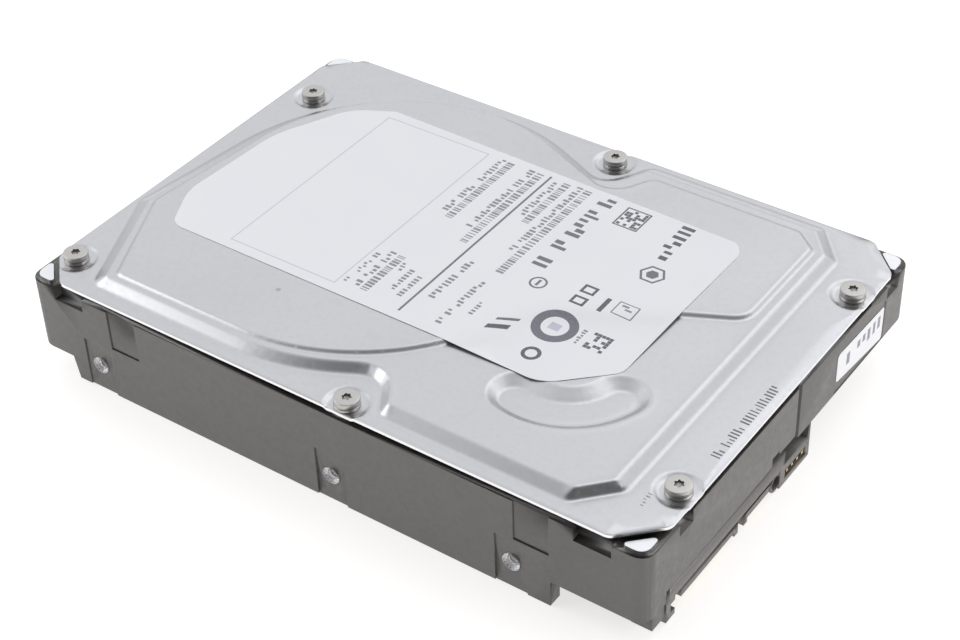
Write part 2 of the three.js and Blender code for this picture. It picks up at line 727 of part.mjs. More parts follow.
function spindleShaft() {
  return rod(SPINDLE, SHAFT_R, 8.6, HUB_TOP, 24);
}

const CLAMP_SCREWS = [90, 210, 330].map((angle) => polar(SPINDLE, 8.4, angle)).map((p) => [p.x, p.y]);

function platter(z) {
  return ring(SPINDLE, DISC_BORE_R, DISC_R, z, z + DISC_T, FINE);
}

function discClamp() {
  const plate = cut(
    rod(SPINDLE, 15.8, STACK_TOP, 21.5, ROUND),
    rod(SPINDLE, 13.4, STACK_TOP - 1, HUB_TOP + 0.1, ROUND),
    rod(SPINDLE, 3.4, 0, 30, 32),
    cone(SPINDLE, 11.5, 12.4, 20.9, 21.6, ROUND),
  );
  return cut(plate, CLAMP_SCREWS.map((at) => rod(at, 1.15, 0, 30, 12)));
}

// ---- Head actuator -------------------------------------------------------------------------------
const FORK_FROM = COIL_HALF + 0.8;
const FORK_TO = COIL_HALF + 4.5;

function armPlate(z) {
  const plate = outline([
    [0, -8.2],
    [33, -3.4, 6],
    [38.5, -2.9, 1],
    [38.5, 2.9, 1],
    [33, 3.4, 6],
    [0, 8.2],
  ]);
  const window = outline([
    [12, -3.9, 1],
    [29, -1.9, 1],
    [29, 1.9, 1],
    [12, 3.9, 1],
  ]);
  return cut(prism(plate, z, z + ARM_T), prism(window, z - 1, z + 2));
}

function actuatorBlock() {
  const fingers = [-1, 1].map((s) => {
    const angles = [180 + s * FORK_FROM, 180 + s * FORK_TO].sort((a, b) => a - b);
    return prism(sector([0, 0], 7, COIL_OUT_R - 0.6, ...angles, 3), ...COIL_Z);
  });
  const body = join(rod([0, 0], HUB_R, 12.9, 21.9, 36), ARM_ZS.map(armPlate), fingers);
  const bored = cut(body, rod([0, 0], BEARING_R + 0.1, 0, 30, 32));
  return placed(bored, PIVOT, PARKED);
}

function voiceCoil() {
  const outer = sector([0, 0], COIL_IN_R, COIL_OUT_R, 180 - COIL_HALF, 180 + COIL_HALF, 6);
  const eye = sector([0, 0], COIL_IN_R + 3.5, COIL_OUT_R - 3.5, 180 - 8.5, 180 + 8.5, 4);
  return placed(cut(prism(outer, ...COIL_Z), prism(eye, 0, 30)), PIVOT, PARKED);
}

// A load beam with its slider; the slider stands off the beam towards its disc face.
function suspension(beamZ, sliderZ) {
  const half = [
    [34, 2.4],
    [40, 2.8],
    [50, 1.4],
    [53, 0.6],
    [55.2, 0.5],
  ];
  const points = [...half.map(([x, y]) => [x, -y]), ...half.toReversed()];
  const beam = prism(outline(points), beamZ, beamZ + BEAM_T);
  return placed(join(beam, box([50.6, 52], [-0.5, 0.5], sliderZ)), PIVOT, PARKED);
}

const HEADS = [
  { beam: ARM_ZS[0] + ARM_T, slider: [14.3, 14.9] },
  { beam: ARM_ZS[1] - BEAM_T, slider: [16.37, 16.8] },
  { beam: ARM_ZS[1] + ARM_T, slider: [18.1, 18.57] },
  { beam: ARM_ZS[2] - BEAM_T, slider: [20.04, 20.4] },
];

function pivotBearing() {
  return ring(PIVOT, PIVOT_SHAFT_R + 0.06, BEARING_R, 12.6, 22.2, 24);
}

function pivotShaft() {
  return join(rod(PIVOT, PIVOT_SHAFT_R, FLOOR_Z + 1, 22.8, 24), rod(PIVOT, 4.2, FLOOR_Z + 1, 12.2, 24));
}

// ---- Voice-coil motor ----------------------------------------------------------------------------
const PLATE_LOW = [11, 13.2];
const PLATE_HIGH = [20.8, 22.8];
const MAGNET_LOW = [13.2, 15.3];
const MAGNET_HIGH = [19.1, 20.8];

function vcmPostPlaces() {
  const corners = [-1, 1].map((s) => polar(PIVOT, VCM_POST_R, VCM_MIDDLE + s * VCM_POST_HALF));
  return corners.map((p) => [p.x, p.y]);
}

const vcmPlate = (span) =>
  prism(sector(PIVOT, 11.6, 33, VCM_MIDDLE - VCM_HALF, VCM_MIDDLE + VCM_HALF, 14), ...span);
const vcmMagnet = (span) => prism(sector(PIVOT, 14.5, 30.5, VCM_MIDDLE - 33, VCM_MIDDLE + 33, 10), ...span);

// ---- Latch, ramp, flex, filter --------------------------------------------------------------------
const LATCH = [22, -33];

function latchLever() {
  const lever = outline([
    [-4.6, -1.4, 1],
    [0, -2.2, 1],
    [12.4, -1, 1],
    [13.6, -0.4],
    [13.2, 1.8, 0.5],
    [11.6, 1.2, 0.5],
    [0, 2.2, 1],
    [-4.6, 1.4, 1],
  ]);
  const bored = cut(prism(lever, 15.4, 17.4), rod([0, 0], 1.05, 0, 30, 16));
  return placed(bored, LATCH, -21);
}

// Shelves for the lift tabs, on an arc about the pivot, just off the edge of the discs.
function headRamp() {
  const block = prism(sector(PIVOT, 52.6, 57.2, 110.5, 121, 6), FLOOR_Z, 21.9);
  const slots = HEADS.map(({ beam }) =>
    prism(sector(PIVOT, 50, 56, 113, 130, 6), beam - 0.35, beam + BEAM_T + 0.35),
  );
  const discs = rod(SPINDLE, DISC_R + 0.6, 0, 30, FINE);
  return cut(block, slots, discs, rod(COVER_SCREWS[4], BOSS_R + 0.3, 0, 30, 20));
}

// A ribbon that stands on edge along a smooth curve.
function ribbon(points, thickness, low, high) {
  const curve = new THREE.SplineCurve(points.map(([x, y]) => new THREE.Vector2(x, y)));
  const samples = 14;
  const side = (s) =>
    Array.from({ length: samples + 1 }, (_, i) => {
      const along = curve.getTangent(i / samples);
      const p = curve.getPoint(i / samples);
      return p.add(new THREE.Vector2(-along.y, along.x).multiplyScalar((s * thickness) / 2));
    });
  return prism([...side(-1), ...side(1).toReversed()], low, high);
}

function flexCable() {
  const route = [
    [40.1, -1.1],
    [45.5, 0.8],
    [50.5, 6.5],
    [48.6, 14],
    [44, 19],
    [43.6, 24.3],
  ];
  return ribbon(route, 0.3, 14, 19.5);
}

function flexBracket() {
  const plate = prism(outline(rectangle(34, 60, 24.5, 38, 2)), FLOOR_Z, FLOOR_Z + 1.2);
  const wall = box([39.5, 48], [24.6, 25.8], [FLOOR_Z + 1, 20]);
  const plug = box([38.3, 55.7], [27.3, 30.7], [4, FLOOR_Z + 1]);
  return join(plate, wall, plug);
}

const FILTER_ANGLE = 228;

function filterPocket() {
  return placed(box([44, 54.5], [-6.2, 6.2], [FLOOR_Z, 30]), SPINDLE, FILTER_ANGLE);
}

function airFilter() {
  return placed(prism(outline(rectangle(49.6, 53.6, -5.4, 5.4, 1)), FLOOR_Z, 20), SPINDLE, FILTER_ANGLE);
}

// ---- Assembly -------------------------------------------------------------------------------------
add("base_casting", baseCasting(), COATED);
add("top_cover", topCover(), STEEL);
add("cover_gasket", coverGasket(), RUBBER);
COVER_SCREWS.forEach((at, i) =>
  add(`cover_screw_${i + 1}`, socketScrew(at, COVER_SEAT, SCREW_HEAD_R, SCREW_HEAD_H, 1.3, 7), BRIGHT),
);
add("top_label", topLabel(), PAPER);
add("end_label", endLabel(), PAPER);

add("circuit_board", circuitBoard(), BOARD);
add("board_insulator", boardInsulator(), FOAM);
BOARD_SCREWS.forEach((at, i) =>
  add(`board_screw_${i + 1}`, hung(socketScrew([0, 0], 0, 2.3, 1.3, 1.0, 5.6), at, BOARD_Z[0]), BRIGHT),
);
add("sata_connector", sataConnector(), PLASTIC);
add("power_contacts", contacts(POWER, -0.5), GOLD);
add("data_contacts", contacts(DATA, 0.6), GOLD);
add("jumper_pins", jumperPins(), GOLD);
add("controller_chip", prism(outline(rectangle(14, 30, -22, -6, 0.5)), BOARD_Z[1], 5), CHIP);
add("memory_chip", prism(outline(rectangle(36, 46, -24, -8, 0.4)), BOARD_Z[1], 4.6), CHIP);
add("motor_driver_chip", prism(outline(rectangle(6, 15, 8, 17, 0.4)), BOARD_Z[1], 4.6), CHIP);

add("motor_base", motorBase(), ALUMINIUM);
add("bearing_sleeve", bearingSleeve(), COPPER);
add("stator_core", statorCore(), MAGNET);
add("stator_windings", statorWindings(), COPPER);
add("spindle_shaft", spindleShaft(), BRIGHT);
add("spindle_hub", spindleHub(), ALUMINIUM);
add("rotor_magnet", ring(SPINDLE, 9.9, 11.1, 11.3, 14.6), MAGNET);
add("platter_lower", platter(LOWER_DISC_Z), BRIGHT);
add("platter_upper", platter(UPPER_DISC_Z), BRIGHT);
add("disc_spacer", ring(SPINDLE, DISC_BORE_R, 15.6, LOWER_DISC_Z + DISC_T, UPPER_DISC_Z), ALUMINIUM);
add("disc_clamp", discClamp(), ALUMINIUM);
CLAMP_SCREWS.forEach((at, i) => {
  add(`clamp_screw_${i + 1}`, socketScrew(at, 21.5, 1.7, 0.9, 0.8, 4.6), BRIGHT);
});

add("actuator_block", actuatorBlock(), ALUMINIUM);
add("pivot_bearing", pivotBearing(), STEEL);
add("pivot_shaft", pivotShaft(), BRIGHT);
add("voice_coil", voiceCoil(), COPPER);
HEADS.forEach(({ beam, slider }, i) => add(`head_suspension_${i + 1}`, suspension(beam, slider), STEEL));

add("vcm_lower_plate", vcmPlate(PLATE_LOW), MAGNET);
add("vcm_upper_plate", vcmPlate(PLATE_HIGH), MAGNET);
add("vcm_lower_magnet", vcmMagnet(MAGNET_LOW), MAGNET);
add("vcm_upper_magnet", vcmMagnet(MAGNET_HIGH), MAGNET);
vcmPostPlaces().forEach((at, i) => {
  add(`vcm_post_${i + 1}`, rod(at, 1.5, PLATE_LOW[1], PLATE_HIGH[0], 16), BRIGHT);
  add(`crash_stop_${i + 1}`, ring(at, 1.6, 2.5, 15.2, 18.8, 16), RUBBER);
});

add("latch_lever", latchLever(), DRIVE_WHITE);
add("latch_pin", rod(LATCH, 0.95, FLOOR_Z + 1, 18.4, 16), BRIGHT);
add("head_ramp", headRamp(), DRIVE_WHITE);
add("flex_cable", flexCable(), POLYIMIDE);
add("flex_bracket", flexBracket(), ALUMINIUM);
add("air_filter", airFilter(), PAPER);

export default drive;
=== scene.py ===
"""Looks for the hard disk drive: pressed cover, printed labels, screws, materials, light and camera.

Lengths are in millimetres and become metres through MM. +X is the connector end, -Y the near side.
"""

import json
import math
import random

import bmesh
import bpy
import numpy as np
from mathutils import Matrix, Vector
from mathutils.bvhtree import BVHTree
from mathutils.geometry import delaunay_2d_cdt


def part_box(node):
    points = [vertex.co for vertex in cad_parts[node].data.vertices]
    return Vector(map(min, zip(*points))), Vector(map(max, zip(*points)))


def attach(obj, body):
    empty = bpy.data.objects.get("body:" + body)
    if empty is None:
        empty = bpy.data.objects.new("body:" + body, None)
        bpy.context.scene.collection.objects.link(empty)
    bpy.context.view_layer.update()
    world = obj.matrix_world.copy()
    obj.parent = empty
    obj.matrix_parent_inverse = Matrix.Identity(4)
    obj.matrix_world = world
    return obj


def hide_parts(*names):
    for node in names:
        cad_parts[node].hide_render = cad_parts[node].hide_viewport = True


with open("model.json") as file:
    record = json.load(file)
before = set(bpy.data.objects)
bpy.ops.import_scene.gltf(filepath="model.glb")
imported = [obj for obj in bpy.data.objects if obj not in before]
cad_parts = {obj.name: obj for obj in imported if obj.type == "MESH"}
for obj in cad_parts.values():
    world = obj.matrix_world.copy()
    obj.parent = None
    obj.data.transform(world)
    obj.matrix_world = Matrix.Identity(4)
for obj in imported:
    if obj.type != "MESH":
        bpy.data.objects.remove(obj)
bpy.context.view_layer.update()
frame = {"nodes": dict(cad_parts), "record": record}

# ---- Driving dimensions --------------------------------------------------------------------------
MM = 0.001

# The camera looks at a point in the drive from a distance. An azimuth counts from -Y towards +X.
TARGET = (4.13, -2.01, 12.0)
DISTANCE = 414.5
AZIMUTH = 36.4
ELEVATION = 38.68
ROLL = -2.11
LENS = 76.2

# The pressed cover.
GRID = 0.36           # spacing of the points that shape the pressed sheet
SPARSE = 8            # where the sheet is flat, one point in so many is kept each way
RIM_GAP = 0.2         # no such point lies nearer than this to the sheet's edge
COVER_BLUR = 0.3      # how softly the press tool rounds the sheet
BEAD = 0.65           # how strongly the sheet's bends overshoot
BEAD_WIDTH = 0.9      # how far from a bend the overshoot reaches
BEAD_TOP = 0.06       # no bead stands higher than this over the sheet's highest face
SHEET = 0.6           # thickness
RIM_ROUND = 0.16      # width of the rounding along the sheared rim
RIM_DROP = 0.09       # how far the rounding falls
COVER_SCREWS = 6
SCREW_HOLE_SPAN = 8   # the cover's openings that are narrower than this are screw holes

# The labels.
LABEL_T = 0.06        # thickness
LABEL_LIFT = 0.075    # height of the label's face over the sheet
LABEL_GAP = 0.25      # no shaping point lies nearer than this to the label's edge
LABEL_SPAN = 2.6      # how far the stiff film spans the foot of a step
LABEL_BLUR = 1.5      # how softly it comes down to lie flat again
END_LABEL_T = 0.09
END_LABEL_SUNK = 0.01

# The rounding of the moulded and cast edges.
CASTING_ROUND = 0.22
CONNECTOR_ROUND = 0.12
GLOSSY_COAT_IOR = 2.0

# The threaded 6-32 holes.
SIDE_HOLES_X = (45.0, 3.39, -56.6)
SIDE_HOLE_Z = 6.35
SIDE_MOUTH_R = 1.95
BASE_HOLES_X = (32.22, -12.23, -43.98)
BASE_HOLE_Y = 47.63
BASE_MOUTH_R = 1.4
THREAD_PITCH = 0.794
THREAD_OUTER_R = 1.37
THREAD_INNER_R = 1.2
THREAD_FROM = 0.88
THREAD_TO = 4.2

# The bare corner pads lie where |x| + |y| is more than this.
PAD_SUM = 115.0
PAD_FACE_LIFT = 0.03

# The room is bright towards one side and dark opposite, and the pale floor gives light back.
BRIGHT_WALL = (-0.55, 0.65, 0.1)
FLOOR_GLOW = 0.72

UP = Vector((0, 0, 1))
OUT = Vector((1, 0, 0))


def rgb(code):
    """A colour written as a screen shows it, turned into linear light."""
    channels = [int(code[i : i + 2], 16) / 255 for i in (0, 2, 4)]
    return tuple(c / 12.92 if c < 0.04045 else ((c + 0.055) / 1.055) ** 2.4 for c in channels)


# ---- Materials -----------------------------------------------------------------------------------
class Surface:
    """A principled material whose colour, gloss and bump vary by noise in the object's own space."""

    def __init__(self, name, color, roughness, metallic=0.0):
        self.material = bpy.data.materials.new(name)
        self.material.use_nodes = True
        self.tree = self.material.node_tree
        self.shader = self.tree.nodes["Principled BSDF"]
        self.place = self.tree.nodes.new("ShaderNodeTexCoord").outputs["Object"]
        self.socket("Base Color").default_value = (*rgb(color), 1)
        self.socket("Roughness").default_value = roughness
        self.socket("Metallic").default_value = metallic
        self.normal = None

    def socket(self, name):
        return self.shader.inputs[name]

    def link(self, source, target):
        self.tree.links.new(source, target)

    def node(self, kind, **settings):
        made = self.tree.nodes.new(kind)
        for key, value in settings.items():
            setattr(made, key, value)
        return made

    def stretched(self, stretch):
        mapping = self.node("ShaderNodeMapping")
        mapping.inputs["Scale"].default_value = stretch
        self.link(self.place, mapping.inputs["Vector"])
        return mapping.outputs["Vector"]

    def noise(self, size, detail=2.0, stretch=(1, 1, 1)):
        """Noise whose features are about `size` millimetres across."""
        made = self.node("ShaderNodeTexNoise")
        made.inputs["Scale"].default_value = 1 / (size * MM)
        made.inputs["Detail"].default_value = detail
        self.link(self.stretched(stretch), made.inputs["Vector"])
        return made.outputs["Fac"]

    def cells(self, size, feature="F1"):
        made = self.node("ShaderNodeTexVoronoi", feature=feature)
        made.inputs["Scale"].default_value = 1 / (size * MM)
        self.link(self.place, made.inputs["Vector"])
        return made.outputs["Distance"]

    def ramp(self, factor, low, high, start=0.3, end=0.7):
        """A number that goes from low to high while factor goes from start to end."""
        made = self.node("ShaderNodeMapRange")
        for key, value in (("From Min", start), ("From Max", end), ("To Min", low), ("To Max", high)):
            made.inputs[key].default_value = value
        self.link(factor, made.inputs["Value"])
        return made.outputs["Result"]

    def tint(self, factor, color):
        """Mixes another colour over the present one where factor is high."""
        mix = self.node("ShaderNodeMix", data_type="RGBA")
        base = self.socket("Base Color")
        if base.is_linked:
            self.link(base.links[0].from_socket, mix.inputs["A"])
        else:
            mix.inputs["A"].default_value = base.default_value
        mix.inputs["B"].default_value = (*rgb(color), 1)
        self.link(factor, mix.inputs["Factor"])
        self.link(mix.outputs["Result"], base)
        return self

    def gloss(self, factor, low, high):
        self.link(self.ramp(factor, low, high), self.socket("Roughness"))
        return self

    def rounded(self, radius):
        """Edges that catch the light as if rounded off; it comes before any bump."""
        made = self.node("ShaderNodeBevel", samples=4)
        made.inputs["Radius"].default_value = radius * MM
        self.normal = made.outputs["Normal"]
        self.link(self.normal, self.socket("Normal"))
        return self

    def bump(self, factor, height):
        """A relief of `height` millimetres."""
        made = self.node("ShaderNodeBump")
        made.inputs["Distance"].default_value = height * MM
        self.link(factor, made.inputs["Height"])
        if self.normal:
            self.link(self.normal, made.inputs["Normal"])
        self.normal = made.outputs["Normal"]
        self.link(self.normal, self.socket("Normal"))
        return self


def cover_steel():
    s = Surface("satin_stainless", "c8c8ca", 0.3, 1.0)
    s.tint(s.ramp(s.noise(38, 3), 0, 0.5), "bebfc2")
    s.tint(s.ramp(s.noise(1.1, 4), 0, 0.35, 0.45, 0.8), "b9b8b9")
    s.gloss(s.noise(0.8, 5), 0.28, 0.36)
    s.bump(s.noise(0.5, 2), 0.0006)
    return s.bump(s.noise(14, 2), 0.02).material


# The sheared rim's steel, painted much brighter than the sheet's steel: a painted highlight along the
# edge.
def painted_highlight_rim():
    s = Surface("sheared_edge_painted_highlight", "f2f2f3", 0.28, 1.0)
    return s.bump(s.noise(0.3, 3, (1, 1, 0.15)), 0.01).material


def coated_casting():
    s = Surface("dark_coated_casting", "38332e", 0.4)
    s.socket("IOR").default_value = GLOSSY_COAT_IOR
    s.rounded(CASTING_ROUND)
    s.tint(s.ramp(s.noise(22, 3), 0, 0.5), "35312d")
    s.tint(s.ramp(s.noise(0.55, 4), 0, 0.45, 0.5, 0.75), "4d4741")
    s.gloss(s.noise(1.4, 4), 0.35, 0.45)
    s.bump(s.noise(0.5, 4), 0.012)
    return s.bump(s.noise(2.4, 2), 0.015).material


def machined_pad():
    s = Surface("machined_pad", "f0f1f3", 0.3, 0.6)
    s.tint(s.ramp(s.noise(0.5, 3, (0.2, 1, 1)), 0, 0.3), "e0e2e6")
    return s.bump(s.noise(0.3, 3, (0.1, 1, 1)), 0.004).material


def bright_screw():
    s = Surface("nickel_screw", "bebcb9", 0.34, 1.0)
    s.tint(s.ramp(s.noise(1.4, 3), 0, 0.3), "b3b0ab")
    s.gloss(s.noise(0.6, 3), 0.3, 0.42)
    return s.bump(s.noise(0.4, 2), 0.001).material


# Darker metal for the screws' grooves and sockets and the bottoms of the threaded holes: painted shade
# in recesses.
def screw_recess_shade():
    s = Surface("screw_recess_shade", "a8a5a0", 0.4, 1.0)
    s.tint(s.ramp(s.noise(0.4, 3), 0, 0.5), "8b8883")
    return s.bump(s.noise(0.3, 2), 0.003).material


def thread_metal():
    s = Surface("cut_thread", "f6f6f7", 0.35, 0.6)
    s.gloss(s.noise(0.4, 3), 0.28, 0.42)
    return s.bump(s.noise(0.4, 2), 0.003).material


def paper():
    s = Surface("label_film", "f1f1f4", 0.42)
    s.socket("Specular IOR Level").default_value = 0.45
    s.tint(s.ramp(s.noise(16, 2), 0, 0.35), "eaebf0")
    s.gloss(s.noise(3, 3), 0.38, 0.48)
    return s.bump(s.noise(0.5, 3), 0.002).material


def ink(name, color):
    s = Surface(name, color, 0.5)
    s.tint(s.ramp(s.noise(0.25, 3), 0, 0.3), "b4b6c0")
    s.gloss(s.noise(1, 2), 0.44, 0.56)
    return s.material


def etched(name, color, speck):
    s = Surface(name, color, 0.55, 0.8)
    s.tint(s.ramp(s.noise(0.3, 3), 0, 0.5), speck)
    return s.bump(s.noise(0.15, 2), 0.006).material


def rubber():
    s = Surface("black_rubber", "131313", 0.75)
    s.gloss(s.noise(0.6, 3), 0.65, 0.85)
    s.tint(s.ramp(s.noise(1.2, 3), 0, 0.5), "1b1a1a")
    return s.bump(s.noise(0.4, 3), 0.02).material


def board_laminate():
    s = Surface("solder_mask", "17452f", 0.35)
    traces = s.ramp(s.cells(2.6, "DISTANCE_TO_EDGE"), 1, 0, 0.05, 0.07)
    s.tint(traces, "2a6a48")
    s.tint(s.ramp(s.cells(3.1), 1, 0, 0.10, 0.12), "b99a52")
    s.gloss(s.noise(0.5, 3), 0.28, 0.42)
    s.bump(traces, 0.02)
    return s.bump(s.noise(0.3, 2), 0.004).material


def foam():
    s = Surface("grey_foam", "353433", 0.95)
    s.tint(s.ramp(s.cells(0.5), 0, 0.7, 0, 0.6), "232222")
    return s.bump(s.cells(0.4), 0.15).material


def connector_plastic():
    s = Surface("nylon_housing", "57524d", 0.42)
    s.socket("IOR").default_value = GLOSSY_COAT_IOR
    s.rounded(CONNECTOR_ROUND)
    s.tint(s.ramp(s.noise(0.35, 4), 0, 0.4, 0.45, 0.75), "46423e")
    s.gloss(s.noise(0.7, 3), 0.36, 0.5)
    return s.bump(s.noise(0.3, 4), 0.008).material


def moulded(name, color, speck, roughness):
    s = Surface(name, color, roughness)
    s.tint(s.ramp(s.noise(0.3, 4), 0, 0.5), speck)
    s.gloss(s.noise(0.8, 3), roughness - 0.06, roughness + 0.08)
    return s.bump(s.noise(0.2, 3), 0.008).material


def metal(name, color, shade, roughness, size=0.5, grain=(1, 1, 1)):
    s = Surface(name, color, roughness, 1.0)
    s.tint(s.ramp(s.noise(size, 4, grain), 0, 0.5), shade)
    s.gloss(s.noise(size, 3, grain), roughness - 0.05, roughness + 0.08)
    return s.bump(s.noise(size / 2, 3, grain), 0.005).material


def disc_coating():
    s = Surface("disc_coating", "d7d9dd", 0.08, 1.0)
    s.tint(s.ramp(s.noise(9, 2), 0, 0.3), "cdd0d6")
    return s.gloss(s.noise(6, 2), 0.07, 0.1).material


def wound_copper():
    s = Surface("enamelled_copper", "b5662f", 0.3, 0.9)
    turns = s.noise(0.22, 2, (0.12, 0.12, 1))
    s.tint(s.ramp(turns, 0, 0.7), "6f3616")
    return s.bump(turns, 0.05).material


def polyimide():
    s = Surface("polyimide_flex", "b8742c", 0.35)
    s.tint(s.ramp(s.noise(1.1, 1, (0.02, 0.02, 1)), 0, 0.8, 0.48, 0.52), "8a4f18")
    return s.gloss(s.noise(1, 3), 0.28, 0.42).material


# The material of each of the record's slots.
SLOTS = {
    "coated_casting": coated_casting(),
    "cover_steel": cover_steel(),
    "gasket_rubber": rubber(),
    "screw_steel": bright_screw(),
    "label_paper": paper(),
    "board_laminate": board_laminate(),
    "foam": foam(),
    "connector_plastic": connector_plastic(),
    "gold_contact": metal("gold_plate", "e3c069", "c79f45", 0.22, 0.4),
    "chip_plastic": moulded("chip_compound", "1a1a1b", "262526", 0.55),
    "machined_aluminium": metal("machined_aluminium", "c6c8cc", "a9abb0", 0.32, 0.7, (1, 0.15, 1)),
    "bearing_bronze": metal("bearing_bronze", "b48149", "8d6233", 0.35),
    "magnet_steel": metal("plated_magnet", "b9babc", "9a9b9e", 0.28, 1.2),
    "copper_wire": wound_copper(),
    "disc_mirror": disc_coating(),
    "white_plastic": moulded("ivory_polymer", "e6e3d8", "d3cfc1", 0.42),
    "polyimide": polyimide(),
}

# Materials for places inside a slot.
# The cover's sheared rim, painted brighter as a highlight.
RIM_HIGHLIGHT = painted_highlight_rim()
PAD = machined_pad()
# Painted shade for the recesses of screws and holes.
RECESS_SHADE = screw_recess_shade()
THREAD = thread_metal()
ETCH = etched("etched_mark", "6c6b6d", "828184")
# A faint round spot, a little darker grey than the sheet.
FAINT_SPOT = etched("faint_mark", "aeaeb0", "bcbcbe")
COVER_LOOKS = [SLOTS["cover_steel"], RIM_HIGHLIGHT, ETCH, FAINT_SPOT]

# The label's inks; what is blank is bare film.
INKS = {
    "black": ink("ink_black", "4c4d54"),
    "dark": ink("ink_dark", "666871"),
    "grey": ink("ink_grey", "8b8d96"),
    "line": ink("ink_line", "c9ccd9"),
}
FILM = [SLOTS["label_paper"], *INKS.values()]
INK_INDEX = {name: i for i, name in enumerate(["blank", *INKS])}


# ---- Pieces --------------------------------------------------------------------------------------
SLOT_OF = {s["node"]: s["material_slot"] for s in frame["record"]["subparts"]}
BODY_OF = {n: body for body, nodes in frame["record"]["behaviour"]["bodies"].items() for n in nodes}


def piece(name, mesh, materials, node, replaces=True):
    """Links a mesh as a piece that rides with a CAD node's body, and may stand for that node."""
    made = bpy.data.objects.new(name, mesh)
    for material in materials:
        mesh.materials.append(material)
    bpy.context.scene.collection.objects.link(made)
    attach(made, BODY_OF[node])
    if replaces:
        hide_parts(node)
    return made


def smooth(mesh, degrees=35):
    mesh.shade_smooth()
    mesh.set_sharp_from_angle(angle=math.radians(degrees))
    return mesh


def welded(node):
    """A copy of a CAD node with its corners joined, so that its curves can be shaded smoothly."""
    bm = bmesh.new()
    bm.from_mesh(frame["nodes"][node].data)
    bmesh.ops.remove_doubles(bm, verts=bm.verts, dist=1e-6)
    mesh = bpy.data.meshes.new(node + "_fine")
    bm.to_mesh(mesh)
    bm.free()
    return smooth(mesh)


# ---- Outlines and sheets -------------------------------------------------------------------------
def loops_of(node, facing, axes):
    """The outlines of the faces of a CAD node that look one way, largest first, in millimetres."""
    mesh = frame["nodes"][node].data
    edges = set()
    for face in mesh.polygons:
        if face.normal.dot(facing) < 0.2:
            continue
        ring = [tuple(round(mesh.vertices[i].co[a] / MM, 3) for a in axes) for i in face.vertices]
        edges.update(zip(ring, ring[1:] + ring[:1]))
    after = {a: b for a, b in edges if (b, a) not in edges}
    loops = []
    while after:
        first, at = after.popitem()
        loop = [first]
        while at != first and at in after:
            loop.append(at)
            at = after.pop(at)
        loops.append(loop)
    return sorted((np.array(loop) for loop in loops if len(loop) > 2), key=area, reverse=True)


def area(loop):
    x, y = np.array(loop).T
    return abs(np.dot(x, np.roll(y, -1)) - np.dot(y, np.roll(x, -1))) / 2


ARC_EDGE = 7.0      # an edge of an outline that is no longer than this belongs to an arc
ARC_STEPS = 4


def curved(loop):
    """The loop with the short edges that stand for an arc turned back into a curve."""
    edge = np.roll(loop, -1, 0) - loop
    length = np.linalg.norm(edge, axis=1)
    ways = edge / length[:, None]
    points = []
    for i in range(len(loop)):
        j = (i + 1) % len(loop)
        if length[i] > ARC_EDGE:
            points.append(loop[i])
            continue
        start = tangent(ways[i - 1], ways[i], length[i - 1], length[i], True)
        end = tangent(ways[i], ways[j], length[i], length[j], False)
        for t in np.arange(ARC_STEPS) / ARC_STEPS:
            blend = (2 * t**3 - 3 * t**2 + 1, t**3 - 2 * t**2 + t, 3 * t**2 - 2 * t**3, t**3 - t**2)
            terms = (loop[i], start * length[i], loop[j], end * length[i])
            points.append(sum(b * term for b, term in zip(blend, terms)))
    return np.array(points)


def tangent(before, after, length_before, length_after, leaving):
    """The way a curve runs through a corner; a long edge there is straight and keeps its way."""
    sharp = before @ after < math.cos(math.radians(50))
    if sharp:
        return after if leaving else before
    if length_before > 3 * length_after:
        return before
    if length_after > 3 * length_before:
        return after
    way = before + after
    return way / np.linalg.norm(way)


def inside(points, loop):
    """Which points lie inside a closed loop, by the even-odd rule."""
    x, y = points[:, 0], points[:, 1]
    odd = np.zeros(len(points), bool)
    for (ax, ay), (bx, by) in zip(loop, np.roll(loop, -1, 0)):
        if ay == by:
            continue
        crosses = (ay > y) != (by > y)
        odd ^= crosses & (x < ax + (y - ay) * (bx - ax) / (by - ay))
    return odd


def clear_of(points, loops, gap):
    """The points that lie further than gap from every edge of the loops."""
    keep = np.ones(len(points), bool)
    for loop in loops:
        for a, b in zip(loop, np.roll(loop, -1, 0)):
            along = b - a
            t = np.clip(((points - a) @ along) / max(along @ along, 1e-9), 0, 1)
            keep &= np.linalg.norm(points - a - t[:, None] * along, axis=1) > gap
    return points[keep]


def shrunk(loop, distance):
    """An anticlockwise loop moved inwards."""
    before = loop - np.roll(loop, 1, 0)
    after = np.roll(loop, -1, 0) - loop
    way = before / np.linalg.norm(before, axis=1)[:, None]
    way += after / np.linalg.norm(after, axis=1)[:, None]
    way /= np.linalg.norm(way, axis=1)[:, None]
    return loop + distance * np.stack([-way[:, 1], way[:, 0]], 1)


